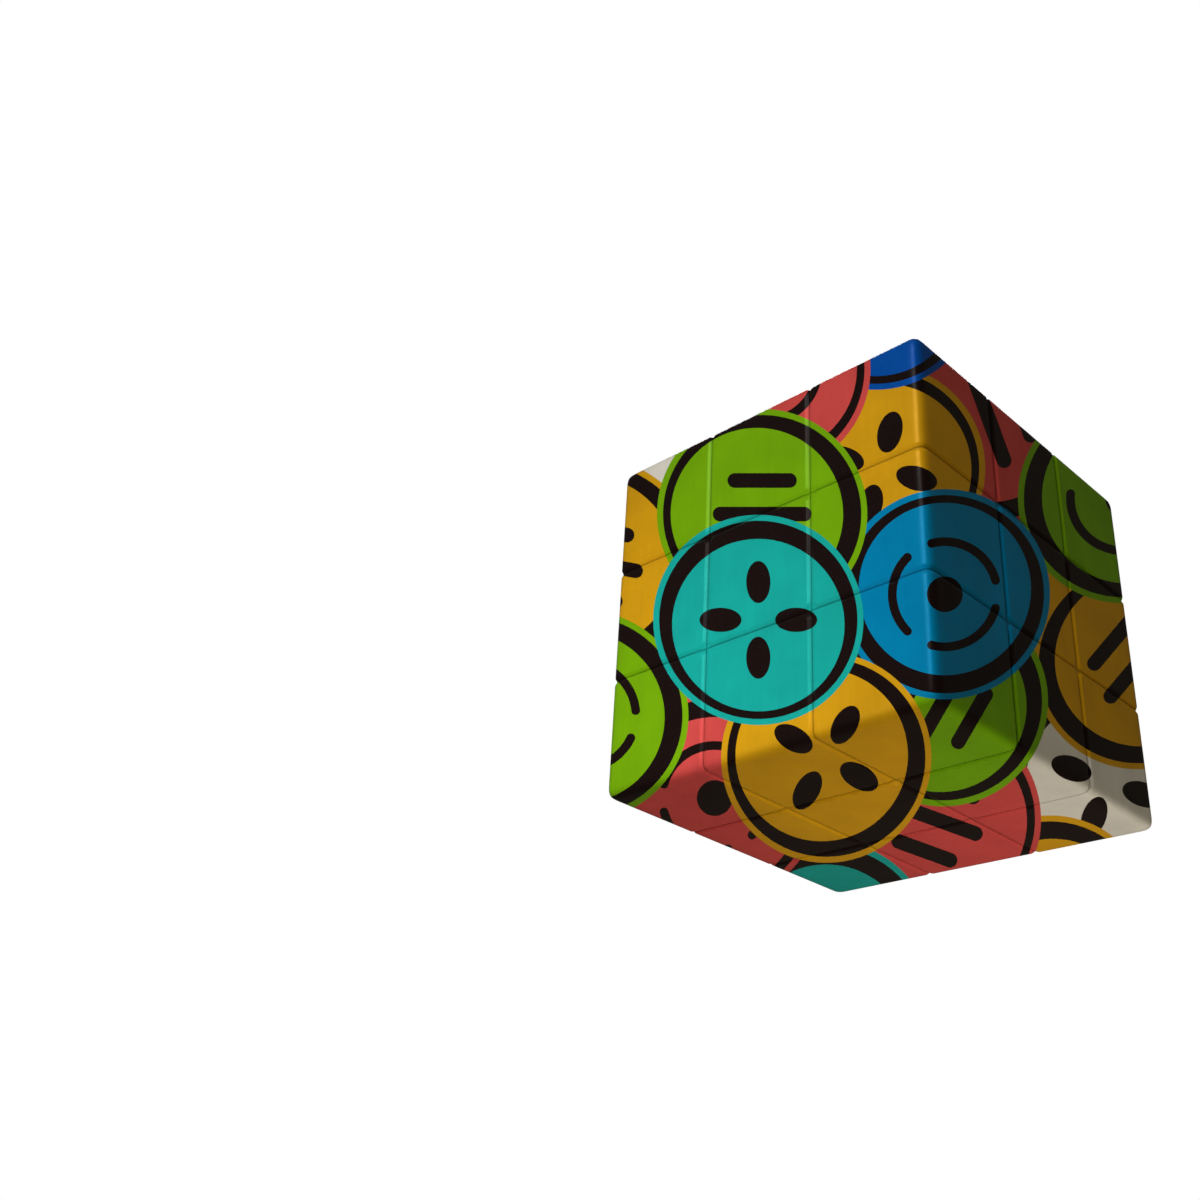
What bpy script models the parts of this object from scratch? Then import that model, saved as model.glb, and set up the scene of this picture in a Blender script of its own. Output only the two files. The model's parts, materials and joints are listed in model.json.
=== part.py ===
"""A 3x3x3 cube puzzle, built the way it comes apart on a bench.

Six sprung centre pieces turn on the arms of a core. Twelve edges are held under the
centres by their feet, and eight corners are held under the edges by theirs. Every
surface where two layers slide is a plane across a turning axis or a sphere about the
centre of the cube, so any one face turns freely from the aligned position.

Frame: the origin is the centre of the cube, +Z is up, and the front face looks along -Y.
"""
import math

import bmesh
import bpy
from mathutils import Matrix, Vector

MM = 0.001

# Driving dimensions
SIDE = 57 * MM                # outer side of the cube
LAYERS = 3
GAP = 0.3 * MM                # running gap between neighbouring pieces
WALL = 1.2 * MM               # wall of a hollow piece
EDGE_ROUND = 2.6 * MM         # rounding of the cube's own edges
TILE_ROUND = 0.6 * MM         # rounding of each tile where a groove runs
FOOT_CUT = 5.5 * MM           # plane under which a foot may not reach
FOOT_OUTER = 21 * MM          # sphere between feet and outer bodies
FOOT_INNER = 14.5 * MM        # sphere under the feet
NECK_INSET = 0.2 * MM         # how far a neck stays inside its piece's own sides
FACET_RELIEF = 0.1 * MM       # extra room under a body, for the flats of its hollow sphere
SCREW_RADIUS = 1.2 * MM
SCREW_TIP = 3.6 * MM          # height of the screw's tip above the centre of the cube
ARM_RADIUS = 4.2 * MM
ARM_TOP = 8.5 * MM
BALL_RADIUS = 6 * MM          # ball at the middle of the core
POCKET_RADIUS = 3.9 * MM      # pocket in a centre piece for spring, washer and screw head
POCKET_FLOOR = 11.5 * MM
SPRING_WIRE = 0.35 * MM
SPRING_TURNS = 4.5
SPRING_TOP = 18.5 * MM
WASHER_THICKNESS = 0.6 * MM
HEAD_HEIGHT = 2.0 * MM
TRAY_DEPTH = 2.4 * MM         # recess in a centre piece, under its cap
PEG_DEPTH = 3.6 * MM          # how far a corner foot's peg reaches into its shell
CAP_THICKNESS = 2.1 * MM
CAP_PLUG_DEPTH = 3.0 * MM

# Screw heads: the top's width, and the cross recess, as shares of the head and shank
HEAD_TAPER = 0.8
RECESS_LENGTH = 0.55
RECESS_WIDTH = 0.25
RECESS_DEPTH = 0.6

# Worked out from them
HALF = SIDE / 2
CUT = SIDE / LAYERS / 2
CLEAR = GAP / 2
BODY_LOW = CUT + CLEAR
BODY_WIDE = CUT - CLEAR
FOOT_LOW = FOOT_CUT + CLEAR
FOOT_WIDE = FOOT_CUT - CLEAR
BODY_SPHERE = FOOT_OUTER + CLEAR + FACET_RELIEF
FOOT_TOP = FOOT_OUTER - CLEAR
FOOT_BOTTOM = FOOT_INNER + CLEAR
NECK_TOP = BODY_SPHERE + WALL
HUB_RADIUS = FOOT_WIDE - NECK_INSET
SCREW_HOLE = SCREW_RADIUS + GAP
WASHER_LOW = SPRING_TOP + GAP
HEAD_LOW = WASHER_LOW + WASHER_THICKNESS + GAP
WASHER_RADIUS = POCKET_RADIUS - 2 * GAP
HEAD_RADIUS = WASHER_RADIUS - GAP
SPRING_RADIUS = WASHER_RADIUS - SPRING_WIRE - CLEAR
CAP_LOW = HALF - CAP_THICKNESS
CENTRE_TOP = CAP_LOW - GAP

ROUND_SIDES = 16              # sides of round holes, arms and heads
SHANK_SIDES = 12              # sides of the screws and their holes in the core
PATCH_STEPS = 5               # steps across a patch of a sphere
NECK_STEPS = 3                # the same where the patch stays inside a piece
WIRE_SIDES = 4                # sides of the spring's wire
SPRING_STEPS = 9              # steps in one turn of a spring
EDGE_STEPS = 3                # segments of the cube's rounded edges

# The six faces: name and outward direction
FACES = {
    "right": Vector((1, 0, 0)), "left": Vector((-1, 0, 0)),
    "back": Vector((0, 1, 0)), "front": Vector((0, -1, 0)),
    "up": Vector((0, 0, 1)), "down": Vector((0, 0, -1)),
}

# Finish of each kind of sub-part: colour, roughness, metallic
FINISHES = {
    "corner_shell": ((0.10, 0.36, 0.30), 0.38, 0.0),
    "edge": ((0.52, 0.33, 0.03), 0.38, 0.0),
    "centre_cap": ((0.02, 0.25, 0.45), 0.38, 0.0),
    "centre": ((0.02, 0.02, 0.02), 0.45, 0.0),
    "corner_foot": ((0.02, 0.02, 0.02), 0.45, 0.0),
    "core": ((0.65, 0.63, 0.58), 0.45, 0.0),
    "screw": ((0.55, 0.55, 0.56), 0.30, 1.0),
    "washer": ((0.60, 0.60, 0.61), 0.25, 1.0),
    "spring": ((0.45, 0.45, 0.47), 0.30, 1.0),
}


def clear_scene():
    for old in list(bpy.data.objects):
        bpy.data.objects.remove(old, do_unlink=True)


def finish(kind):
    colour, roughness, metallic = FINISHES[kind]
    material = bpy.data.materials.new(kind)
    material.use_nodes = True
    shader = material.node_tree.nodes["Principled BSDF"]
    shader.inputs["Base Color"].default_value = (*colour, 1)
    shader.inputs["Roughness"].default_value = roughness
    shader.inputs["Metallic"].default_value = metallic
    return material


# Meshes ------------------------------------------------------------------------------

def mesh_from(points, faces):
    """A closed mesh from points and faces, with its normals turned outwards."""
    shape = bmesh.new()
    corners = [shape.verts.new(point) for point in points]
    for face in faces:
        shape.faces.new([corners[index] for index in face])
    bmesh.ops.remove_doubles(shape, verts=shape.verts, dist=1e-7)
    bmesh.ops.recalc_face_normals(shape, faces=shape.faces)
    return shape


def point_at_radius(base, direction, radius):
    """Where a ray from base meets the sphere of that radius about the origin."""
    along = base.dot(direction)
    return base + direction * (math.sqrt(along ** 2 + radius ** 2 - base.length_squared) - along)


def box(low, high):
    centre = (Vector(low) + Vector(high)) / 2
    size = Vector(high) - Vector(low)
    shape = bmesh.new()
    bmesh.ops.create_cube(shape, size=1, matrix=Matrix.Translation(centre) @ Matrix.Diagonal((*size, 1)))
    return shape


def cylinder(radius, low, high, sides=ROUND_SIDES, top_radius=None):
    """A round bar along Z, or a cone where top_radius differs."""
    shape = bmesh.new()
    bmesh.ops.create_cone(
        shape, cap_ends=True, segments=sides, radius1=radius,
        radius2=radius if top_radius is None else top_radius, depth=high - low,
        matrix=Matrix.Translation((0, 0, (low + high) / 2)))
    return shape


def octant_block(low, radius, inner=None, steps=PATCH_STEPS):
    """The solid with x, y and z over low, inside the sphere, and outside the inner sphere."""
    base = Vector((low, low, low))
    rows = [(i, j) for i in range(steps + 1) for j in range(steps + 1 - i)]
    number = {row: index for index, row in enumerate(rows)}
    directions = [Vector((i, j, steps - i - j)).normalized() for i, j in rows]
    points = [point_at_radius(base, direction, radius) for direction in directions]
    count = len(points)
    points += [point_at_radius(base, direction, inner) for direction in directions] if inner else [base]

    def below(index):
        return index + count if inner else count

    faces = []
    for i, j in rows:
        if i + j < steps:
            faces.append((number[i, j], number[i + 1, j], number[i, j + 1]))
        if i + j < steps - 1:
            faces.append((number[i + 1, j], number[i + 1, j + 1], number[i, j + 1]))
    if inner:
        faces += [tuple(below(index) for index in face) for face in faces]
    sides = ([number[i, 0] for i in range(steps + 1)], [number[0, j] for j in range(steps + 1)],
             [number[i, steps - i] for i in range(steps + 1)])
    for arc in sides:
        faces.append(arc + [below(index) for index in reversed(arc)] if inner else arc + [count])
    return mesh_from(points, faces)


def edge_block(wide, low, radius, inner=None, steps=PATCH_STEPS):
    """The solid with |x| under wide, y and z over low, between the two spheres."""
    across = [wide * (2 * i / steps - 1) for i in range(steps + 1)]
    turns = [math.pi / 2 * j / steps for j in range(steps + 1)]

    def patch(size):
        return [point_at_radius(Vector((x, low, low)), Vector((0, math.cos(turn), math.sin(turn))), size)
                for x in across for turn in turns]

    points = patch(radius)
    count, row = len(points), steps + 1
    faces = [(i * row + j, (i + 1) * row + j, (i + 1) * row + j + 1, i * row + j + 1)
             for i in range(steps) for j in range(steps)]
    first, last = list(range(row)), [steps * row + j for j in range(row)]
    near, far = [i * row for i in range(row)], [i * row + steps for i in range(row)]
    if inner:
        points += patch(inner)
        faces += [tuple(index + count for index in face) for face in faces]
        faces += [arc + [index + count for index in reversed(arc)] for arc in (first, last, near, far)]
    else:
        points += [Vector((x, low, low)) for x in (-wide, wide)]
        faces += [first + [count], last + [count + 1], near + [count + 1, count], far + [count + 1, count]]
    return mesh_from(points, faces)


def centre_block(wide, low, radius, steps=PATCH_STEPS):
    """The solid with |x| and |y| under wide, z over low and a rounded top on the sphere."""
    line = [wide * (2 * i / steps - 1) for i in range(steps + 1)]
    points = [Vector((x, y, math.sqrt(radius ** 2 - x ** 2 - y ** 2))) for x in line for y in line]
    count, row = len(points), steps + 1
    points += [Vector((x, y, low)) for x, y in ((-wide, -wide), (-wide, wide), (wide, wide), (wide, -wide))]
    faces = [(i * row + j, (i + 1) * row + j, (i + 1) * row + j + 1, i * row + j + 1)
             for i in range(steps) for j in range(steps)]
    sides = (list(range(row)), [i * row + steps for i in range(row)],
             [steps * row + j for j in reversed(range(row))], [i * row for i in reversed(range(row))])
    for side, arc in enumerate(sides):
        faces.append(arc + [count + (side + 1) % 4, count + side])
    faces.append([count, count + 1, count + 2, count + 3])
    return mesh_from(points, faces)


def rounded_body(low, high):
    """A tile's body: the cube's own edges well rounded, and the edges along a groove a little."""
    shape = box(low, high)

    def outside(face):
        return any(abs(abs(face.calc_center_median()[axis]) - HALF) < CLEAR for axis in range(3))

    own = [edge for edge in shape.edges if all(outside(face) for face in edge.link_faces)]
    if own:
        bmesh.ops.bevel(shape, geom=own, offset=EDGE_ROUND, segments=EDGE_STEPS, profile=0.5,
                        affect="EDGES")
    limits = [(axis, side) for axis in range(3) for side in (low[axis], high[axis])
              if abs(abs(side) - HALF) > CLEAR]

    def inward(face):
        return any(all(abs(corner.co[axis] - side) < CLEAR / 10 for corner in face.verts)
                   for axis, side in limits)

    rims = [edge for edge in shape.edges if sum(inward(face) for face in edge.link_faces) == 1]
    bmesh.ops.bevel(shape, geom=rims, offset=TILE_ROUND, segments=1, profile=0.5, affect="EDGES")
    return shape


def combine(shape, operation, *others):
    """Join the others to a shape, or cut them from it, and return one closed mesh."""
    result = shape
    for other in others:
        objects = []
        for part in (result, other):
            mesh = bpy.data.meshes.new("step")
            part.to_mesh(mesh)
            part.free()
            objects.append(bpy.data.objects.new("step", mesh))
            bpy.context.scene.collection.objects.link(objects[-1])
        modifier = objects[0].modifiers.new("step", "BOOLEAN")
        modifier.operation = operation
        modifier.object = objects[1]
        bpy.context.view_layer.update()
        evaluated = objects[0].evaluated_get(bpy.context.evaluated_depsgraph_get())
        result = bmesh.new()
        result.from_mesh(evaluated.to_mesh())
        for temporary in objects:
            mesh = temporary.data
            bpy.data.objects.remove(temporary, do_unlink=True)
            bpy.data.meshes.remove(mesh)
    return result


def tidy_mesh(shape):
    """Merge stray points, and dissolve needless edges in flat faces."""
    bmesh.ops.remove_doubles(shape, verts=shape.verts, dist=1e-6)
    bmesh.ops.dissolve_limit(shape, angle_limit=math.radians(0.5), verts=shape.verts, edges=shape.edges)
    bmesh.ops.triangulate(shape, faces=shape.faces)
    return shape


# Pieces, each in its own place at the right, back and top of the cube ----------------------

def corner_shell():
    shape = rounded_body((BODY_LOW,) * 3, (HALF,) * 3)
    hollow = box((BODY_LOW + WALL,) * 3, (HALF - WALL,) * 3)
    return combine(shape, "DIFFERENCE", hollow, octant_block(FOOT_CUT, BODY_SPHERE))


def corner_foot():
    foot = octant_block(FOOT_LOW, FOOT_TOP, FOOT_BOTTOM)
    peg = octant_block(BODY_LOW + WALL + GAP, FOOT_TOP + PEG_DEPTH, FOOT_TOP - WALL, NECK_STEPS)
    return combine(foot, "UNION", peg)


def edge_piece():
    shape = rounded_body((-BODY_WIDE, BODY_LOW, BODY_LOW), (BODY_WIDE, HALF, HALF))
    inside = BODY_WIDE - WALL
    hollow = box((-inside, BODY_LOW + WALL, BODY_LOW + WALL), (inside, HALF - WALL, HALF - WALL))
    shape = combine(shape, "DIFFERENCE", hollow, edge_block(CUT + WALL, FOOT_CUT, BODY_SPHERE))
    neck = edge_block(FOOT_WIDE - NECK_INSET, BODY_LOW + NECK_INSET, NECK_TOP, FOOT_TOP - WALL, NECK_STEPS)
    return combine(shape, "UNION", edge_block(FOOT_WIDE, FOOT_LOW, FOOT_TOP, FOOT_BOTTOM), neck)


def centre_piece():
    body = box((-BODY_WIDE, -BODY_WIDE, CUT), (BODY_WIDE, BODY_WIDE, CENTRE_TOP))
    body = combine(body, "DIFFERENCE", centre_block(CUT + WALL, 0, BODY_SPHERE))
    inside = BODY_WIDE - WALL
    tray = box((-inside, -inside, CENTRE_TOP - TRAY_DEPTH), (inside, inside, HALF))
    boss = cylinder(POCKET_RADIUS + WALL, FOOT_TOP, CENTRE_TOP - NECK_INSET)
    column = box((-FOOT_WIDE, -FOOT_WIDE, FOOT_INNER), (FOOT_WIDE, FOOT_WIDE, FOOT_OUTER + WALL))
    hub = cylinder(HUB_RADIUS, ARM_TOP + GAP, FOOT_OUTER)
    pocket = cylinder(POCKET_RADIUS, POCKET_FLOOR, HALF)
    hole = cylinder(SCREW_HOLE, 0, FOOT_INNER)
    body = combine(body, "DIFFERENCE", tray)
    body = combine(body, "UNION", column, hub, boss)
    return combine(body, "DIFFERENCE", pocket, hole)


def centre_cap():
    plate = rounded_body((-BODY_WIDE, -BODY_WIDE, CAP_LOW), (BODY_WIDE, BODY_WIDE, HALF))
    plug = cylinder(POCKET_RADIUS - GAP, CAP_LOW - CAP_PLUG_DEPTH, CAP_LOW + WALL / 2)
    bore = cylinder(POCKET_RADIUS - GAP - WALL, 0, CAP_LOW - NECK_INSET)
    return combine(plate, "UNION", combine(plug, "DIFFERENCE", bore))


def core():
    shape = bmesh.new()
    bmesh.ops.create_icosphere(shape, subdivisions=2, radius=BALL_RADIUS)
    for axis in "XY":
        shape = combine(shape, "UNION", turned(cylinder(ARM_RADIUS, -ARM_TOP, ARM_TOP), axis))
    shape = combine(shape, "UNION", cylinder(ARM_RADIUS, -ARM_TOP, ARM_TOP))
    for direction in FACES.values():
        hole = cylinder(SCREW_HOLE, SCREW_TIP - GAP, ARM_TOP + WALL, SHANK_SIDES)
        bmesh.ops.transform(hole, matrix=facing(direction), verts=hole.verts)
        shape = combine(shape, "DIFFERENCE", hole)
    return shape


def turned(shape, axis):
    """A bar along Z laid along X or Y."""
    matrix = Matrix.Rotation(math.pi / 2, 4, "Y" if axis == "X" else "X")
    bmesh.ops.transform(shape, matrix=matrix, verts=shape.verts)
    return shape


def screw():
    head_top = HEAD_LOW + HEAD_HEIGHT
    head = cylinder(HEAD_RADIUS, HEAD_LOW, head_top, top_radius=HEAD_RADIUS * HEAD_TAPER)
    shank = cylinder(SCREW_RADIUS, SCREW_TIP, HEAD_LOW + HEAD_HEIGHT / 2, SHANK_SIDES)
    long, thin = HEAD_RADIUS * RECESS_LENGTH, SCREW_RADIUS * RECESS_WIDTH
    deep = head_top - HEAD_HEIGHT * RECESS_DEPTH
    slots = [box((-a, -b, deep), (a, b, head_top + WALL)) for a, b in ((long, thin), (thin, long))]
    return combine(combine(head, "UNION", shank), "DIFFERENCE", *slots)


def washer():
    ring = cylinder(WASHER_RADIUS, WASHER_LOW, WASHER_LOW + WASHER_THICKNESS)
    return combine(ring, "DIFFERENCE", cylinder(SCREW_HOLE, 0, HALF))


def spring():
    """A round wire wound as a helix, from the pocket's floor to the washer."""
    low = POCKET_FLOOR + GAP + SPRING_WIRE
    rise = SPRING_TOP - SPRING_WIRE - low
    steps = round(SPRING_TURNS * SPRING_STEPS)
    points = []
    for step in range(steps + 1):
        turn = 2 * math.pi * step / SPRING_STEPS
        outward = Vector((math.cos(turn), math.sin(turn), 0))
        centre = outward * SPRING_RADIUS + Vector((0, 0, low + rise * step / steps))
        for side in range(WIRE_SIDES):
            around = 2 * math.pi * side / WIRE_SIDES
            points.append(centre + SPRING_WIRE * (outward * math.cos(around)
                                                  + Vector((0, 0, math.sin(around)))))
    faces = [(step * WIRE_SIDES + side, step * WIRE_SIDES + (side + 1) % WIRE_SIDES,
              (step + 1) * WIRE_SIDES + (side + 1) % WIRE_SIDES, (step + 1) * WIRE_SIDES + side)
             for step in range(steps) for side in range(WIRE_SIDES)]
    last = steps * WIRE_SIDES
    faces += [tuple(range(WIRE_SIDES)), tuple(range(last, last + WIRE_SIDES))]
    return mesh_from(points, faces)


# Places ------------------------------------------------------------------------------

def facing(up, back=None):
    """The turn that takes +Z to up and +Y to back, or to any side square to up."""
    back = back or Vector((abs(up.z), abs(up.x), abs(up.y)))
    return Matrix((back.cross(up), back, up)).transposed().to_4x4()


def place(name, mesh, matrix):
    piece = bpy.data.objects.new(name, mesh)
    bpy.context.scene.collection.objects.link(piece)
    piece.matrix_world = matrix
    return piece


def finished_mesh(kind, shape):
    mesh = bpy.data.meshes.new(kind)
    tidy_mesh(shape).to_mesh(mesh)
    shape.free()
    mesh.materials.append(finish(kind))
    mesh.shade_smooth()
    mesh.set_sharp_from_angle(angle=math.radians(35))
    return mesh


def build():
    clear_scene()
    place("core", finished_mesh("core", core()), Matrix())
    on_axis = {"centre": centre_piece, "centre_cap": centre_cap, "screw": screw,
               "washer": washer, "spring": spring}
    for kind, make in on_axis.items():
        mesh = finished_mesh(kind, make())
        for face, direction in FACES.items():
            place(f"{kind}_{face}", mesh, facing(direction))
    edge_mesh = finished_mesh("edge", edge_piece())
    shell_mesh = finished_mesh("corner_shell", corner_shell())
    foot_mesh = finished_mesh("corner_foot", corner_foot())
    for up in ("up", "down"):
        for side in ("front", "back", "left", "right"):
            place(f"edge_{up}_{side}", edge_mesh, facing(FACES[up], FACES[side]))
    for depth in ("front", "back"):
        for side in ("left", "right"):
            place(f"edge_{depth}_{side}", edge_mesh, facing(FACES[depth], FACES[side]))
            for up in ("up", "down"):
                turns_right = FACES[depth].cross(FACES[up]).dot(FACES[side]) > 0
                back = FACES[depth] if turns_right else FACES[side]
                matrix = facing(FACES[up], back)
                place(f"corner_shell_{up}_{depth}_{side}", shell_mesh, matrix)
                place(f"corner_foot_{up}_{depth}_{side}", foot_mesh, matrix)


build()
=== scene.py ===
"""The looks of a 3x3x3 cube puzzle printed all over with overlapping discs.

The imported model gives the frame. The tiles that show are rebuilt here with smooth
rounded edges, and every other piece keeps its shape and gets its material.
"""
import json
import math
from collections import namedtuple

import bmesh
import bpy
from mathutils import Color, Matrix, Vector


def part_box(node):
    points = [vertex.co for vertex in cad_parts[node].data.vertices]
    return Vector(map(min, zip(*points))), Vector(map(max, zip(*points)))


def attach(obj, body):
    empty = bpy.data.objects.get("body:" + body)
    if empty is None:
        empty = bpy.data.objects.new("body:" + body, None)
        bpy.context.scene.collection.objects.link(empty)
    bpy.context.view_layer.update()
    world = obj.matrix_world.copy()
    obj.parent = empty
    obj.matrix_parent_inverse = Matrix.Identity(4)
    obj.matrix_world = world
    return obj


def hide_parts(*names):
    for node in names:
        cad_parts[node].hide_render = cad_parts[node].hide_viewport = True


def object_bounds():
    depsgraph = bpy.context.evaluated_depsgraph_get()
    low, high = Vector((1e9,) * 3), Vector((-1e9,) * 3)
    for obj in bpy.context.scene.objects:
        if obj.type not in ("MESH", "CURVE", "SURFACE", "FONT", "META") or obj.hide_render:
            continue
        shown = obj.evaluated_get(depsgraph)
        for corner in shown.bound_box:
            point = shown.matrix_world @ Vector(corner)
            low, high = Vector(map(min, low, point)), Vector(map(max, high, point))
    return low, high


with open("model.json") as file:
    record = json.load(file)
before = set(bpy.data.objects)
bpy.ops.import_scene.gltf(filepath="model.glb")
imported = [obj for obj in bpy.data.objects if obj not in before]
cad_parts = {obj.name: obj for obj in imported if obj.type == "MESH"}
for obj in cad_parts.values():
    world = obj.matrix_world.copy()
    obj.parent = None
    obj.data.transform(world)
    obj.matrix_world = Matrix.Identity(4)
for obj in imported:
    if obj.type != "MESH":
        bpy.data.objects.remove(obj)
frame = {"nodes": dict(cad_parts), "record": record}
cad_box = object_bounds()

MM = 0.001
MERGE = 1e-7                  # points nearer than this are one point
ON_PLANE = 0.01 * MM          # points nearer than this to a plane lie on it

# Sizes from the frame: half the cube and half a tile's pitch
HALF = cad_box[1].x
HALF_PITCH = HALF / 3
GAP = 2 * (HALF_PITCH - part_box("centre_cap_up")[1].x)

# The tiles' outer shape
SEAM = 0.03 * MM              # the gap between two finished tiles
BODY_WIDE = HALF_PITCH - SEAM / 2
BODY_LOW = HALF_PITCH + SEAM / 2
EDGE_ROUND = 3.2 * MM         # rounding of the cube's own edges
EDGE_PROFILE = 0.77           # fuller than a circle's 0.5, so that a tile is flat nearly to its rim
EDGE_STEPS = 12
TILE_ROUND = 0.65 * MM        # width of the slope down to a seam
TILE_DEPTH = 0.30 * MM        # how far that slope goes down
TILE_CURVE = 1.2              # over 1, so that the slope starts gently
TILE_CORNER = 1.4 * MM        # rounding of a tile's corners, where two grooves cross
TILE_STEPS = 6
CORNER_STEPS = 4
SHARP_ANGLE = math.radians(40)
NORMAL_WEIGHT = 100           # large flat faces lead the shading

# Sizes inside the tiles, which the frame's boxes don't give
PATCH_STEPS = 14              # steps across a patch of a sphere
ROUND_SIDES = 48
WALL = 1.2 * MM
FOOT_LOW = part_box("corner_foot_up_back_right")[0].x
FOOT_WIDE = FOOT_LOW - GAP
FOOT_TOP = 20.85 * MM         # spheres above and below a foot
FOOT_BOTTOM = 14.65 * MM
BODY_SPHERE = 21.25 * MM      # hollow sphere under a tile's body
NECK_INSET = 0.2 * MM
CAP_THICKNESS = 2.1 * MM
CAP_LOW = HALF - CAP_THICKNESS
PLUG_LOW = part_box("centre_cap_up")[0].z
PLUG_RADIUS = 3.6 * MM

# The camera, which looks up at the cube's nearest bottom corner
VIEW_AZIMUTH = math.radians(46.71)
VIEW_ELEVATION = math.radians(-28.39)
VIEW_ROLL = math.radians(3.94)
VIEW_DISTANCE = 220.5 * MM
VIEW_ASIDE = Vector((42.6, -6.5)) * MM    # the cube's centre lies this far right and up
LENS = 42.4                   # millimetres, on a 36 mm wide sensor
CLIP_START = 10 * MM

COLOURS = {
    "teal": "18ACA1", "green": "77AE0B", "blue": "0084B4", "navy": "0350A8",
    "yellow": "DCA215", "coral": "D64E4A", "white": "E8E2D4",
}
BLACK = "1B1110"

# The print, from the lowest disc up: its centre across and up in millimetres, its turn in
# degrees, its colour and its motif. The places are on a plane through the cube's centre,
# square to the camera.
DISC_RADIUS = 16.4
DISCS = [
    (37.5, 5.8, 60, "yellow", "bars"),
    (36.5, -21.8, 20, "white", "petals"),
    (27.6, -43.5, 60, "yellow", "target"),
    (9.8, -27.7, 20, "coral", "bars"),
    (-6.9, -47.5, 120, "teal", "petals"),
    (-24.7, -24.4, 90, "coral", "target"),
    (18.2, 34.4, 250, "coral", "bars"),
    (1.1, 27.0, 15, "yellow", "petals"),
    (0.4, 55.7, 90, "navy", "target"),
    (-16.8, 42.6, 0, "coral", "target"),
    (41.3, -3.5, 310, "yellow", "bars"),
    (39.0, 22.4, 350, "green", "target"),
    (10.9, -9.3, 120, "green", "bars"),
    (11.2, 7.4, 270, "blue", "target"),
    (-43.5, 12.2, 190, "yellow", "bars"),
    (-45.2, -11.5, 160, "green", "target"),
    (-7.3, -18.1, 210, "yellow", "petals"),
    (-17.3, 19.9, 180, "green", "bars"),
    (-17.9, 3.4, 90, "teal", "petals"),
]

# The wrapped layout: how it is turned and shifted on the back, left and top faces, and how
# far past an edge it starts, in millimetres
WRAP_TURN = math.radians(-30)
WRAP_SHIFT = (-4, -20, 0)
WRAP_START = 1.5


# Meshes ------------------------------------------------------------------------------

def mesh_from(points, faces):
    """A closed mesh from points and faces, with its normals turned outwards."""
    shape = bmesh.new()
    corners = [shape.verts.new(point) for point in points]
    for face in faces:
        shape.faces.new([corners[index] for index in face])
    bmesh.ops.remove_doubles(shape, verts=shape.verts, dist=MERGE)
    bmesh.ops.recalc_face_normals(shape, faces=shape.faces)
    return shape


def box(low, high):
    """A box between two corners."""
    centre = (Vector(low) + Vector(high)) / 2
    stretch = Matrix.Diagonal((*(Vector(high) - Vector(low)), 1))
    shape = bmesh.new()
    bmesh.ops.create_cube(shape, size=1, matrix=Matrix.Translation(centre) @ stretch)
    return shape


def rounded_body(low, high):
    """A tile's body: the cube's own edges rounded, and the skin sloping down to each seam."""
    shape = box(low, high)

    def outside(face):
        return any(abs(abs(part) - HALF) < ON_PLANE for part in face.calc_center_median())

    own = [edge for edge in shape.edges if all(outside(face) for face in edge.link_faces)]
    if own:
        bmesh.ops.bevel(shape, geom=own, offset=EDGE_ROUND, segments=EDGE_STEPS,
                        profile=EDGE_PROFILE, affect="EDGES")
    sides = [(axis, side, way) for axis in range(3)
             for side, way in ((low[axis], 1), (high[axis], -1))]
    seams = [(axis, side, way) for axis, side, way in sides if abs(abs(side) - HALF) > ON_PLANE]
    insets = [TILE_ROUND * step / TILE_STEPS for step in range(1, TILE_STEPS + 1)]
    insets += [TILE_ROUND + (TILE_CORNER - TILE_ROUND) * step / CORNER_STEPS
               for step in range(1, CORNER_STEPS + 1)]
    for axis, side, way in seams:
        for inset in insets:
            spot, normal = Vector(), Vector()
            spot[axis], normal[axis] = side + way * inset, 1
            bmesh.ops.bisect_plane(shape, geom=[*shape.verts, *shape.edges, *shape.faces],
                                   plane_co=spot, plane_no=normal)

    def on_seam(face):
        return any(all(abs(corner.co[axis] - side) < ON_PLANE for corner in face.verts)
                   for axis, side, _ in seams)

    def sink(point):
        """How far a point of the skin goes down."""
        nearest, second = sorted(abs(point[axis] - side) for axis, side, _ in seams)[:2]
        if second < TILE_CORNER:
            from_arc = math.hypot(TILE_CORNER - nearest, TILE_CORNER - second)
            nearest = max(0, TILE_CORNER - from_arc)
        return TILE_DEPTH * max(0, 1 - nearest / TILE_ROUND) ** TILE_CURVE

    shape.normal_update()
    normals = {}
    for face in shape.faces:
        if not on_seam(face):
            for corner in face.verts:
                normals[corner] = normals.get(corner, Vector()) + face.normal
    for corner, normal in normals.items():
        corner.co -= normal.normalized() * sink(corner.co)
    return shape


def point_at_radius(base, direction, radius):
    """Where a ray from base meets the sphere of that radius about the origin."""
    along = base.dot(direction)
    return base + direction * (math.sqrt(along ** 2 + radius ** 2 - base.length_squared) - along)


def octant_block(low, radius, steps=PATCH_STEPS):
    """The solid with x, y and z over low, inside the sphere."""
    base = Vector((low, low, low))
    rows = [(i, j) for i in range(steps + 1) for j in range(steps + 1 - i)]
    number = {row: index for index, row in enumerate(rows)}
    points = [point_at_radius(base, Vector((i, j, steps - i - j)).normalized(), radius)
              for i, j in rows]
    apex = len(points)
    faces = [(number[i, j], number[i + 1, j], number[i, j + 1]) for i, j in rows if i + j < steps]
    faces += [(number[i + 1, j], number[i + 1, j + 1], number[i, j + 1])
              for i, j in rows if i + j < steps - 1]
    faces.append([number[i, 0] for i in range(steps + 1)] + [apex])
    faces.append([number[0, j] for j in range(steps + 1)] + [apex])
    faces.append([number[i, steps - i] for i in range(steps + 1)] + [apex])
    return mesh_from(points + [base], faces)


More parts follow.
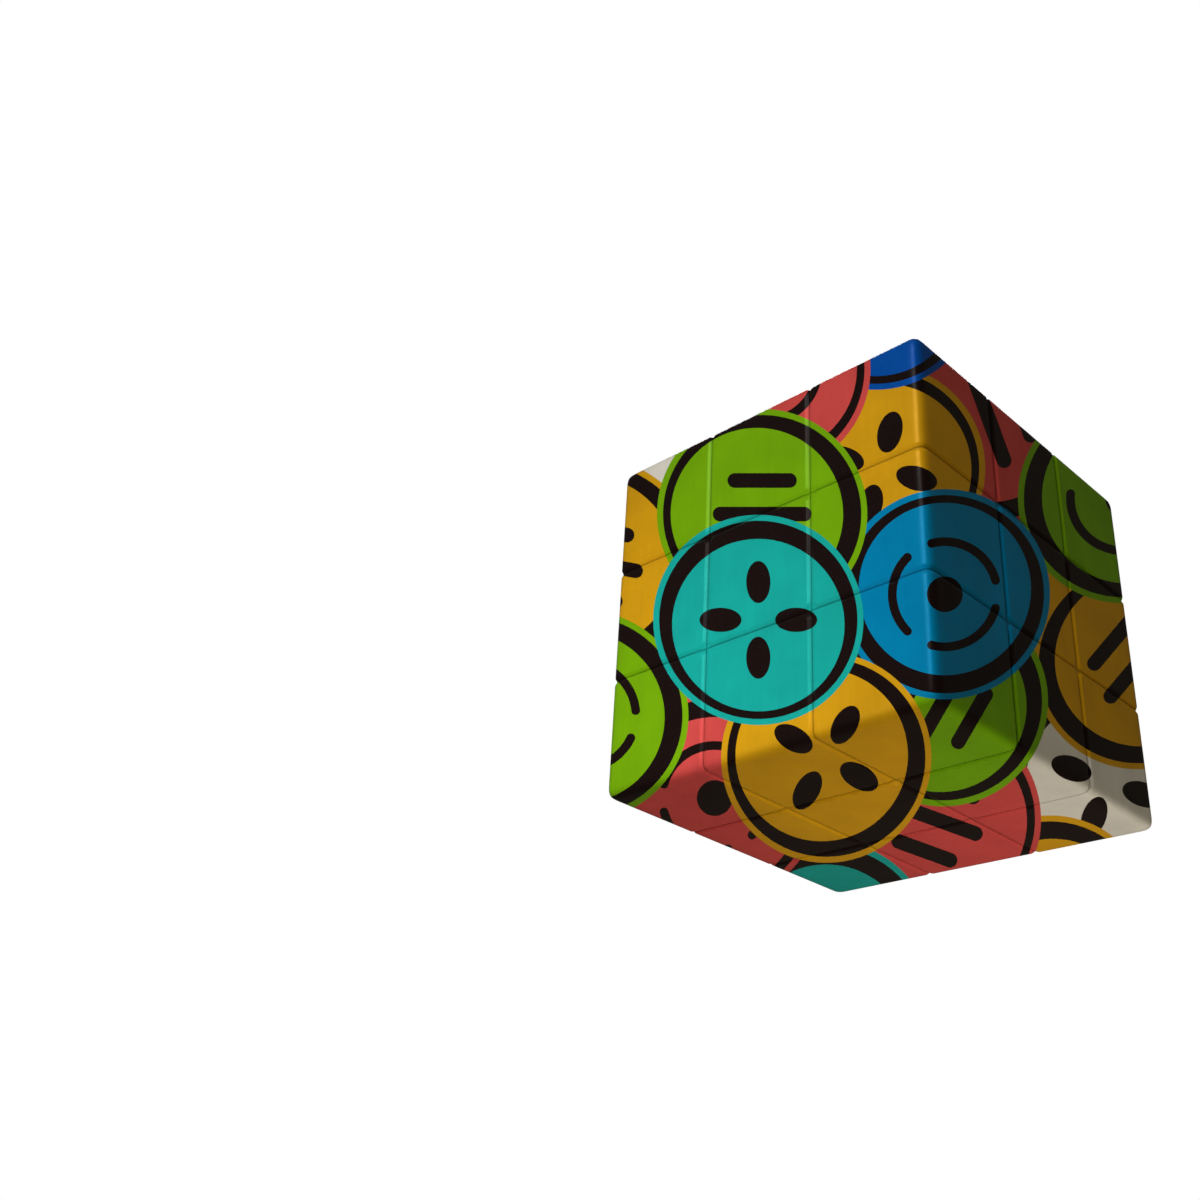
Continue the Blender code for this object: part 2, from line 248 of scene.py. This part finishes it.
def edge_block(wide, low, radius, inner=None, steps=PATCH_STEPS):
    """The solid with |x| under wide, y and z over low, between the two spheres."""
    across = [wide * (2 * i / steps - 1) for i in range(steps + 1)]
    turns = [math.pi / 2 * j / steps for j in range(steps + 1)]

    def patch(size):
        outwards = [Vector((0, math.cos(turn), math.sin(turn))) for turn in turns]
        return [point_at_radius(Vector((x, low, low)), outward, size)
                for x in across for outward in outwards]

    points = patch(radius)
    count, row = len(points), steps + 1
    faces = [(i * row + j, (i + 1) * row + j, (i + 1) * row + j + 1, i * row + j + 1)
             for i in range(steps) for j in range(steps)]
    first, last = list(range(row)), [steps * row + j for j in range(row)]
    near, far = [i * row for i in range(row)], [i * row + steps for i in range(row)]
    if inner:
        points += patch(inner)
        faces += [tuple(index + count for index in face) for face in faces]
        faces += [arc + [index + count for index in reversed(arc)]
                  for arc in (first, last, near, far)]
    else:
        points += [Vector((x, low, low)) for x in (-wide, wide)]
        faces += [first + [count], last + [count + 1]]
        faces += [arc + [count + 1, count] for arc in (near, far)]
    return mesh_from(points, faces)


def cylinder(radius, low, high):
    """A cylinder about Z."""
    shape = bmesh.new()
    bmesh.ops.create_cone(shape, cap_ends=True, segments=ROUND_SIDES, radius1=radius,
                          radius2=radius, depth=high - low,
                          matrix=Matrix.Translation((0, 0, (low + high) / 2)))
    return shape


def combine(shape, operation, *others):
    """Join the others to a shape, or cut them from it, and return one closed mesh."""
    result = shape
    for other in others:
        objects = []
        for part in (result, other):
            mesh = bpy.data.meshes.new("step")
            part.to_mesh(mesh)
            part.free()
            objects.append(bpy.data.objects.new("step", mesh))
            bpy.context.scene.collection.objects.link(objects[-1])
        modifier = objects[0].modifiers.new("step", "BOOLEAN")
        modifier.operation = operation
        modifier.object = objects[1]
        bpy.context.view_layer.update()
        evaluated = objects[0].evaluated_get(bpy.context.evaluated_depsgraph_get())
        result = bmesh.new()
        result.from_mesh(evaluated.to_mesh())
        for temporary in objects:
            mesh = temporary.data
            bpy.data.objects.remove(temporary, do_unlink=True)
            bpy.data.meshes.remove(mesh)
    return result


# Tiles, each modelled at the right, back and top of the cube ---------------------------------

def corner_tile():
    """A hollow shell, open over the sphere that its foot turns in."""
    shape = rounded_body((BODY_LOW,) * 3, (HALF,) * 3)
    hollow = box((BODY_LOW + WALL,) * 3, (HALF - WALL,) * 3)
    return combine(shape, "DIFFERENCE", hollow, octant_block(FOOT_LOW, BODY_SPHERE))


def edge_tile():
    """A hollow body, joined by a neck to the foot under it."""
    shape = rounded_body((-BODY_WIDE, BODY_LOW, BODY_LOW), (BODY_WIDE, HALF, HALF))
    inside = BODY_WIDE - WALL
    hollow = box((-inside, BODY_LOW + WALL, BODY_LOW + WALL), (inside, HALF - WALL, HALF - WALL))
    shape = combine(shape, "DIFFERENCE", hollow, edge_block(BODY_LOW + WALL, FOOT_LOW, BODY_SPHERE))
    foot = edge_block(FOOT_WIDE, FOOT_LOW, FOOT_TOP, FOOT_BOTTOM)
    neck = edge_block(FOOT_WIDE - NECK_INSET, BODY_LOW + NECK_INSET, BODY_SPHERE + WALL,
                      FOOT_TOP - WALL)
    return combine(shape, "UNION", foot, neck)


def cap_tile():
    """A plate with a hollow plug under it."""
    plate = rounded_body((-BODY_WIDE, -BODY_WIDE, CAP_LOW), (BODY_WIDE, BODY_WIDE, HALF))
    plug = cylinder(PLUG_RADIUS, PLUG_LOW, CAP_LOW + WALL / 2)
    bore = cylinder(PLUG_RADIUS - WALL, 0, CAP_LOW - NECK_INSET)
    return combine(plate, "UNION", combine(plug, "DIFFERENCE", bore))


# Materials ---------------------------------------------------------------------------

# A surface's unevenness: how many noise features go to a millimetre, and their detail. Most
# of a noise lies in NOISE_SPAN, which a variation spreads from its low to its high value.
NOISE_SPAN = (0.3, 0.7)
Variation = namedtuple("Variation", "scale detail low high")

# The print: its shade, which multiplies the colour (a random cloud and streaks, and painted shade
# along the seams), its gloss and its relief
PRINT_CLOUD = Variation(0.14, 4.0, 0.91, 1.05)
PRINT_STREAK = Variation(1.0, 3.0, 0.975, 1.02)
STREAK_STRETCH = (1.1, 1.1, 0.1)
PRINT_ROUGHNESS = Variation(2.2, 3.0, 0.30, 0.40)
INK_GLOSS = 0.04              # how much less rough the black ink is
PRINT_SPECULAR = 0.9
WAVE = (0.11, 1.0)            # a slow wave of the moulded skin: noise scale and detail
WAVE_HEIGHT = 0.25            # in millimetres, as is the next height
FINE = (5.0, 2.0)             # the skin's fine grain
FINE_HEIGHT = 0.0022
PRINT_DEPTH = 1.6 * MM        # how far down a groove the print reaches
PRINT_FADE = 0.2 * MM
# Painted shade along the seams: the print darkens towards each seam, standing in for the shade that
# falls into the grooves. The last value is the print's shade at a seam's middle.
PAINTED_SEAM_SHADE_CORE = 0.03 * MM         # how far from a seam's middle the painted shade is darkest
PAINTED_SEAM_SHADE_REACH = 0.25 * MM        # how far from it the painted shade fades out
PAINTED_SEAM_SHADE_TONE = 0.56
BARE = "2A2A2C"               # unprinted black plastic

# Unprinted finishes: noise scale and detail of the cloud that tints and of the grain that
# gives gloss and relief, darkest and lightest shade, least and most added roughness
Finish = namedtuple("Finish", "cloud grain shades uneven relief metallic")
PLASTIC = Finish((0.35, 3.0), (3.5, 3.0), (0.85, 1.1), (-0.08, 0.08), 0.012 * MM, 0)
STEEL = Finish((4.0, 4.0), (4.0, 4.0), (0.8, 1.1), (-0.06, 0.10), 0.008 * MM, 1)
WIRE = STEEL._replace(cloud=(2.0, 4.0), grain=(2.0, 4.0))


def linear(code, brightness=1.0):
    """A linear colour from a hexadecimal sRGB one."""
    colour = Color([int(code[place:place + 2], 16) / 255 for place in (0, 2, 4)])
    return (*(colour.from_srgb_to_scene_linear() * brightness), 1)


class Graph:
    """Adds nodes to a node tree and links them, one call a node."""

    def __init__(self, tree):
        self.tree = tree

    def feed(self, socket, value):
        if isinstance(value, bpy.types.NodeSocket):
            self.tree.links.new(value, socket)
        else:
            socket.default_value = value

    def node(self, kind, *values, **settings):
        made = self.tree.nodes.new(kind)
        for key, value in settings.items():
            setattr(made, key, value)
        for socket, value in zip(made.inputs, values):
            self.feed(socket, value)
        return made

    def math(self, operation, *values):
        return self.node("ShaderNodeMath", *values, operation=operation).outputs[0]

    def vector(self, operation, *values):
        made = self.node("ShaderNodeVectorMath", *values, operation=operation)
        return made.outputs[1 if operation in ("LENGTH", "DISTANCE", "DOT_PRODUCT") else 0]

    def mix(self, kind, factor, first, second):
        """Blend two FLOAT, VECTOR or RGBA values. The node has a pair of sockets for each."""
        made = self.node("ShaderNodeMix", factor, data_type=kind)
        at = {"FLOAT": 2, "VECTOR": 4, "RGBA": 6}[kind]
        self.feed(made.inputs[at], first)
        self.feed(made.inputs[at + 1], second)
        return made.outputs[at // 2 - 1]

    def noise(self, place, scale, detail):
        made = self.node("ShaderNodeTexNoise")
        self.feed(made.inputs["Vector"], place)
        self.feed(made.inputs["Scale"], scale)
        self.feed(made.inputs["Detail"], detail)
        return made.outputs["Fac"]

    def ramp(self, value, low, high, start, end):
        """A value from low to high, spread over start to end."""
        return self.node("ShaderNodeMapRange", value, low, high, start, end).outputs[0]

    def varied(self, place, variation):
        """A value that varies from place to place between the variation's two ends."""
        noise = self.noise(place, variation.scale, variation.detail)
        return self.ramp(noise, *NOISE_SPAN, variation.low, variation.high)

    def turned(self, place, angle):
        """A place turned about Z."""
        made = self.node("ShaderNodeVectorRotate", rotation_type="Z_AXIS")
        self.feed(made.inputs["Vector"], place)
        self.feed(made.inputs["Angle"], angle)
        return made.outputs[0]

    def rest_point(self):
        """The point's place on the cube at rest, in millimetres. It moves with the piece."""
        here = self.node("ShaderNodeTexCoord").outputs["Object"]
        return self.vector("MULTIPLY", here, (1 / MM,) * 3)

    def relief(self, shader, height, depth):
        """Bumps on a shader's surface, of a height times a depth."""
        made = self.node("ShaderNodeBump")
        self.feed(made.inputs["Height"], height)
        self.feed(made.inputs["Distance"], depth)
        self.feed(shader.inputs["Normal"], made.outputs[0])


# Parts of a disc, in units of its radius
RING_OUTER = 0.943            # outer edge of the black ring
RING_INNER = 0.82             # its inner edge, a circle that lies off the disc's centre
RING_SHIFT = 0.05
ARC_RADIUS = 0.50
ARC_PITCH = 2 * math.pi / 3   # three arcs
ARC_HALF = 0.78               # half an arc's turn, in radians
STROKE = 0.042                # half the width of a line
DOT_RADIUS = 0.17
BAR_PITCH = 0.32
BAR_LENGTH = 0.40
BAR_STEP = 0.14               # how much shorter the outer bars are
BAR_HALF = 0.07
PETAL_PLACE = 0.36
PETAL_SIZE = (0.20, 0.115)


def target_motif(graph, place, size):
    """A ring of three arcs round a dot: how far a point is outside it."""
    across, up, _ = graph.node("ShaderNodeSeparateXYZ", place).outputs
    turn = graph.math("DIVIDE", graph.math("ARCTAN2", across, up), ARC_PITCH)
    off_middle = graph.math("ABSOLUTE", graph.math("SUBTRACT", turn, graph.math("ROUND", turn)))
    past_end = graph.math("MAXIMUM", graph.math("MULTIPLY_ADD", off_middle, ARC_PITCH, -ARC_HALF), 0)
    twice = graph.math("MULTIPLY", graph.math("MULTIPLY", size, 2 * ARC_RADIUS),
                       graph.math("COSINE", past_end))
    squares = graph.math("MULTIPLY_ADD", size, size, ARC_RADIUS ** 2)
    arc = graph.math("SQRT", graph.math("MAXIMUM", graph.math("SUBTRACT", squares, twice), 0))
    return graph.math("MINIMUM", graph.math("SUBTRACT", arc, STROKE),
                      graph.math("SUBTRACT", size, DOT_RADIUS))


def bars_motif(graph, place, size):
    """Three bars with round ends."""
    across, up, _ = graph.node("ShaderNodeSeparateXYZ", place).outputs
    row = graph.math("ROUND", graph.math("DIVIDE", up, BAR_PITCH))
    row = graph.math("MAXIMUM", graph.math("MINIMUM", row, 1), -1)
    aside = graph.math("SUBTRACT", up, graph.math("MULTIPLY", row, BAR_PITCH))
    half = graph.math("MULTIPLY_ADD", graph.math("ABSOLUTE", row), -BAR_STEP, BAR_LENGTH)
    beyond = graph.math("MAXIMUM", graph.math("SUBTRACT", graph.math("ABSOLUTE", across), half), 0)
    away = graph.vector("LENGTH", graph.node("ShaderNodeCombineXYZ", beyond, aside).outputs[0])
    return graph.math("SUBTRACT", away, BAR_HALF)


def petals_motif(graph, place, size):
    """Four oval petals round the middle."""
    across, up, _ = graph.node("ShaderNodeSeparateXYZ", graph.vector("ABSOLUTE", place)).outputs
    along = graph.math("SUBTRACT", graph.math("MAXIMUM", across, up), PETAL_PLACE)
    aside = graph.math("MINIMUM", across, up)
    oval = graph.node("ShaderNodeCombineXYZ", graph.math("DIVIDE", along, PETAL_SIZE[0]),
                      graph.math("DIVIDE", aside, PETAL_SIZE[1])).outputs[0]
    return graph.math("SUBTRACT", graph.vector("LENGTH", oval), 1)


MOTIFS = {"target": target_motif, "bars": bars_motif, "petals": petals_motif}


def disc_group(motif):
    """A node group that prints one disc over what is under it."""
    tree = bpy.data.node_groups.new(f"disc with {motif}", "ShaderNodeTree")
    for name, kind in (("Place", "Vector"), ("Centre", "Vector"), ("Turn", "Float"),
                       ("Disc", "Color"), ("Under", "Color"), ("Under ink", "Float")):
        tree.interface.new_socket(name, in_out="INPUT", socket_type=f"NodeSocket{kind}")
    for name, kind in (("Colour", "Color"), ("Ink", "Float")):
        tree.interface.new_socket(name, in_out="OUTPUT", socket_type=f"NodeSocket{kind}")
    graph = Graph(tree)
    given = graph.node("NodeGroupInput").outputs
    offset = graph.vector("SUBTRACT", given["Place"], given["Centre"])
    local = graph.vector("DIVIDE", offset, (DISC_RADIUS,) * 3)
    place = graph.turned(local, given["Turn"])
    size = graph.vector("LENGTH", place)
    hollow = graph.math("SUBTRACT", RING_INNER, graph.vector("DISTANCE", place, (RING_SHIFT, 0, 0)))
    ring = graph.math("MAXIMUM", graph.math("SUBTRACT", size, RING_OUTER), hollow)
    ink = graph.math("LESS_THAN", graph.math("MINIMUM", ring, MOTIFS[motif](graph, place, size)), 0)
    inside = graph.math("LESS_THAN", size, 1)
    disc = graph.mix("RGBA", ink, given["Disc"], linear(BLACK))
    colour = graph.mix("RGBA", inside, given["Under"], disc)
    inked = graph.mix("FLOAT", inside, given["Under ink"], ink)
    graph.node("NodeGroupOutput", colour, inked)
    return tree


def view_axes():
    """The camera's right, up and backward directions."""
    back = Vector((math.sin(VIEW_AZIMUTH) * math.cos(VIEW_ELEVATION),
                   -math.cos(VIEW_AZIMUTH) * math.cos(VIEW_ELEVATION), math.sin(VIEW_ELEVATION)))
    level = Vector((0, 0, 1)).cross(back).normalized()
    upright = back.cross(level)
    right = level * math.cos(VIEW_ROLL) + upright * math.sin(VIEW_ROLL)
    return right, back.cross(right), back


def new_material(name):
    """A material, the graph of its nodes and its shader."""
    material = bpy.data.materials.new(name)
    material.use_nodes = True
    shader = material.node_tree.nodes["Principled BSDF"]
    return material, Graph(material.node_tree), shader


def print_place(graph, point):
    """Where a point of the cube lies in the print's layout, in millimetres.

    The front, right and bottom carry the layout as it looks from one fixed place. The back
    and left carry it wrapped flat round their shared edge, and the top carries on from the back.
    """
    right, up, back = view_axes()
    toward = graph.math("SUBTRACT", VIEW_DISTANCE / MM, graph.vector("DOT_PRODUCT", point, back))
    flat = []
    for axis, aside in ((right, VIEW_ASIDE.x / MM), (up, VIEW_ASIDE.y / MM)):
        off_axis = graph.math("ADD", graph.vector("DOT_PRODUCT", point, axis), aside)
        scaled = graph.math("MULTIPLY", off_axis, VIEW_DISTANCE / MM)
        flat.append(graph.math("SUBTRACT", graph.math("DIVIDE", scaled, toward), aside))
    near = graph.node("ShaderNodeCombineXYZ", *flat).outputs[0]
    x, y, z = graph.node("ShaderNodeSeparateXYZ", point).outputs
    minus_x, minus_y, minus_z = (graph.math("MULTIPLY", value, -1) for value in (x, y, z))
    half, edge = HALF / MM, EDGE_ROUND / MM
    over = graph.math("MINIMUM", graph.math("SUBTRACT", z, half - edge), graph.math("ADD", z, x))
    on_top = graph.math("GREATER_THAN", over, 0)
    beyond = graph.math("MULTIPLY", graph.math("ADD", minus_y, half), on_top)
    across = graph.math("SUBTRACT", graph.math("SUBTRACT", minus_x, y), beyond)
    wrapped = graph.node("ShaderNodeCombineXYZ", across, graph.math("ADD", z, beyond)).outputs[0]
    far = graph.vector("ADD", graph.turned(wrapped, WRAP_TURN), WRAP_SHIFT)
    away = graph.math("MAXIMUM", graph.math("MAXIMUM", minus_x, y), z)
    facing_camera = graph.math("MAXIMUM", graph.math("MAXIMUM", x, minus_y), minus_z)
    hidden = graph.math("GREATER_THAN", graph.math("SUBTRACT", away, facing_camera), WRAP_START)
    return graph.mix("VECTOR", hidden, near, far)


def printed_discs(graph, place):
    """The print's colour, and where its black ink is, from all the discs one on another."""
    groups = {motif: disc_group(motif) for motif in MOTIFS}
    colour, ink = linear(COLOURS["white"]), 0.0
    for across, up, turn, name, motif in DISCS:
        disc = graph.node("ShaderNodeGroup", place, (across, up, 0), math.radians(turn),
                          linear(COLOURS[name]), colour, ink, node_tree=groups[motif])
        colour, ink = disc.outputs
    return colour, ink


def print_mottle_and_seam_shade(graph, point):
    """How light the print is: a little cloudy and streaky, and darkened along the seams by painted
    shade that stands in for the shade in the grooves.
    """
    streaks = graph.vector("MULTIPLY", point, STREAK_STRETCH)
    shade = graph.math("MULTIPLY", graph.varied(point, PRINT_CLOUD),
                       graph.varied(streaks, PRINT_STREAK))
    # Painted shade: the print darkens towards each seam, where the grooves fall into shade
    past_seam = graph.vector("SUBTRACT", graph.vector("ABSOLUTE", point), (HALF_PITCH / MM,) * 3)
    x, y, z = graph.node("ShaderNodeSeparateXYZ", graph.vector("ABSOLUTE", past_seam)).outputs
    near_seam = graph.math("MINIMUM", graph.math("MINIMUM", x, y), z)
    painted_seam_shade = graph.ramp(near_seam, PAINTED_SEAM_SHADE_CORE / MM, PAINTED_SEAM_SHADE_REACH / MM, PAINTED_SEAM_SHADE_TONE, 1)
    return graph.math("MULTIPLY", shade, painted_seam_shade)


def under_skin(graph, point):
    """0 on the cube's skin, rising to 1 where it is too deep for the print."""
    x, y, z = graph.node("ShaderNodeSeparateXYZ", graph.vector("ABSOLUTE", point)).outputs
    outermost = graph.math("MAXIMUM", graph.math("MAXIMUM", x, y), z)
    depth = graph.math("SUBTRACT", HALF / MM, outermost)
    return graph.ramp(depth, (PRINT_DEPTH - PRINT_FADE) / MM, (PRINT_DEPTH + PRINT_FADE) / MM, 0, 1)


def printed_plastic():
    """Satin plastic under the print, with painted shade along the seams and bare plastic deep in the
    grooves.
    """
    material, graph, shader = new_material("printed_plastic")
    point = graph.rest_point()
    colour, ink = printed_discs(graph, print_place(graph, point))
    # random cloud and streaks, times the painted shade along the seams
    shade = print_mottle_and_seam_shade(graph, point)
    shades = graph.node("ShaderNodeCombineXYZ", shade, shade, shade).outputs[0]
    colour = graph.mix("RGBA", under_skin(graph, point), graph.vector("MULTIPLY", colour, shades),
                       linear(BARE))
    graph.feed(shader.inputs["Base Color"], colour)
    graph.feed(shader.inputs["Specular Tint"], colour)
    shader.inputs["Specular IOR Level"].default_value = PRINT_SPECULAR
    rough = graph.math("SUBTRACT", graph.varied(point, PRINT_ROUGHNESS),
                       graph.math("MULTIPLY", ink, INK_GLOSS))
    graph.feed(shader.inputs["Roughness"], rough)
    wave = graph.math("MULTIPLY", graph.noise(point, *WAVE), WAVE_HEIGHT)
    fine = graph.math("MULTIPLY", graph.noise(point, *FINE), FINE_HEIGHT)
    graph.relief(shader, graph.math("ADD", wave, fine), MM)
    return material


def plain_material(name, code, roughness, finish):
    """Unprinted plastic or steel: uneven in tint and gloss, with a fine grain."""
    material, graph, shader = new_material(name)
    point = graph.rest_point()
    darkest, lightest = (linear(code, shade) for shade in finish.shades)
    cloud = graph.ramp(graph.noise(point, *finish.cloud), *NOISE_SPAN, 0, 1)
    graph.feed(shader.inputs["Base Color"], graph.mix("RGBA", cloud, darkest, lightest))
    grain = graph.noise(point, *finish.grain)
    least, most = (roughness + added for added in finish.uneven)
    graph.feed(shader.inputs["Roughness"], graph.ramp(grain, *NOISE_SPAN, least, most))
    shader.inputs["Metallic"].default_value = finish.metallic
    graph.relief(shader, grain, finish.relief)
    return material


# Places ------------------------------------------------------------------------------

def facing(up, back=None):
    """The turn that takes +Z to up and +Y to back, or to any side square to up."""
    back = back or Vector((abs(up.z), abs(up.x), abs(up.y)))
    return Matrix((back.cross(up), back, up)).transposed().to_4x4()


def directions(node):
    """The outward directions of the faces that a node's tiles lie on."""
    low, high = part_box(node)
    middle = (low + high) / 2
    units = [Vector([axis == other for other in range(3)]) for axis in range(3)]
    return [unit if middle[axis] > 0 else -unit for axis, unit in enumerate(units)
            if abs(middle[axis]) > BODY_WIDE]


def turn_for(node):
    """The turn that takes a tile from the right, back and top to its own place."""
    ways = directions(node)
    if len(ways) < 3:
        return facing(*reversed(ways))
    right, back, up = ways
    return facing(up, back if back.cross(up).dot(right) > 0 else right)


def show_tile(node, shape, material):
    """Stand a finished tile in for its CAD node."""
    mesh = bpy.data.meshes.new(f"printed_{node}")
    shape.to_mesh(mesh)
    mesh.transform(turn_for(node))
    mesh.materials.append(material)
    mesh.shade_smooth()
    mesh.set_sharp_from_angle(angle=SHARP_ANGLE)
    piece = bpy.data.objects.new(f"printed_{node}", mesh)
    bpy.context.scene.collection.objects.link(piece)
    weighted = piece.modifiers.new("normals", "WEIGHTED_NORMAL")
    weighted.keep_sharp = True
    weighted.weight = NORMAL_WEIGHT
    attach(piece, body_of(node))
    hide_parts(node)


def body_of(node):
    bodies = frame["record"]["behaviour"]["bodies"]
    return next(body for body, nodes in bodies.items() if node in nodes)


def dress():
    """Give every node its material, and rebuild the printed tiles."""
    printed = printed_plastic()
    tiles = {"corner_shell": (corner_tile(), "corner_print"), "edge": (edge_tile(), "edge_print"),
             "centre_cap": (cap_tile(), "cap_print")}
    plain = {
        "core": plain_material("white_nylon", "D8D4C8", 0.5, PLASTIC),
        "centre": plain_material("black_abs", BARE, 0.42, PLASTIC),
        "corner_foot": plain_material("black_foot_abs", "2C2C2E", 0.42, PLASTIC),
        "screw": plain_material("zinc_steel", "B8B8BC", 0.28, STEEL),
        "washer": plain_material("stainless_steel", "C4C4C6", 0.22, STEEL),
        "spring": plain_material("spring_steel", "9A9AA2", 0.25, WIRE),
    }
    for node, piece in frame["nodes"].items():
        kind = next(name for name in (*tiles, *plain) if node.startswith(name))
        if kind in tiles:
            shape, slot = tiles[kind]
            show_tile(node, shape, printed)
        else:
            piece.data.materials.clear()
            piece.data.materials.append(plain[kind])
    for shape, _ in tiles.values():
        shape.free()


# Stage -------------------------------------------------------------------------------

WHITE = (1, 1, 1)
FLOOR_DROP = 0.32             # how far the floor is under the cube's centre
FLOOR_REACH = 6               # from the floor's middle to its sides
FLOOR_SHADE = (0.85, 0.85, 0.85)
FLOOR_ROUGHNESS = 0.9
FLOOR_GLOW = 0.72             # keeps the floor pale under weak lights
AMBIENT = (0.047, 0.042, 0.032)

# The lights: name, place, size, power, colour, and whether they show in gloss
LIGHTS = [
    ("front", (0.11, -0.58, 0.34), 0.34, 2.5, WHITE, True),
    ("low", (-0.012, -0.085, -0.022), 0.05, 0.021, WHITE, False),
    ("right", (0.30, 0.02, -0.22), 0.20, 0.14, (1, 0.92, 0.72), True),
    ("below", (0.022, 0.022, -0.12), 0.06, 0.050, (1, 0.95, 0.88), False),
    ("top", (-0.35, 0.45, 0.60), 0.40, 3.5, WHITE, True),
]


def area_light(name, place, size, power, colour, glossy):
    """A round light that faces the cube and isn't seen itself."""
    light = bpy.data.lights.new(name, "AREA")
    light.shape = "DISK"
    light.size = size
    light.energy = power
    light.color = colour
    lamp = bpy.data.objects.new(name, light)
    bpy.context.scene.collection.objects.link(lamp)
    lamp.location = place
    lamp.visible_camera = False
    lamp.visible_glossy = glossy
    lamp.rotation_euler = (-Vector(place)).to_track_quat("-Z", "Y").to_euler()


def lay_floor():
    """A plain pale floor, far under the floating cube."""
    shape = bmesh.new()
    bmesh.ops.create_grid(shape, x_segments=1, y_segments=1, size=FLOOR_REACH,
                          matrix=Matrix.Translation((0, 0, -FLOOR_DROP)))
    mesh = bpy.data.meshes.new("floor")
    shape.to_mesh(mesh)
    shape.free()
    floor = bpy.data.objects.new("floor", mesh)
    bpy.context.scene.collection.objects.link(floor)
    material, _, shader = new_material("pale_floor")
    shader.inputs["Base Color"].default_value = (*FLOOR_SHADE, 1)
    shader.inputs["Roughness"].default_value = FLOOR_ROUGHNESS
    shader.inputs["Emission Color"].default_value = (*WHITE, 1)
    shader.inputs["Emission Strength"].default_value = FLOOR_GLOW
    floor.data.materials.append(material)
    floor.visible_diffuse = floor.visible_glossy = False


def light_world():
    """A white backdrop that adds only a weak light."""
    world = bpy.data.worlds.new("studio")
    bpy.context.scene.world = world
    world.use_nodes = True
    graph = Graph(world.node_tree)
    background = world.node_tree.nodes["Background"]
    seen = graph.node("ShaderNodeLightPath").outputs["Is Camera Ray"]
    graph.feed(background.inputs["Color"], graph.mix("RGBA", seen, (*AMBIENT, 1), (*WHITE, 1)))
    bpy.context.scene.view_settings.view_transform = "Standard"


def place_camera():
    """The camera, under the cube and in front, at the photo's viewing angle."""
    lens = bpy.data.cameras.new("camera")
    lens.lens = LENS
    lens.clip_start = CLIP_START
    camera = bpy.data.objects.new("camera", lens)
    bpy.context.scene.collection.objects.link(camera)
    right, up, back = view_axes()
    spot = back * VIEW_DISTANCE - right * VIEW_ASIDE.x - up * VIEW_ASIDE.y
    turn = Matrix((right, up, back)).transposed().to_4x4()
    camera.matrix_world = Matrix.Translation(spot) @ turn
    bpy.context.scene.camera = camera


dress()
lay_floor()
for light in LIGHTS:
    area_light(*light)
light_world()
place_camera()
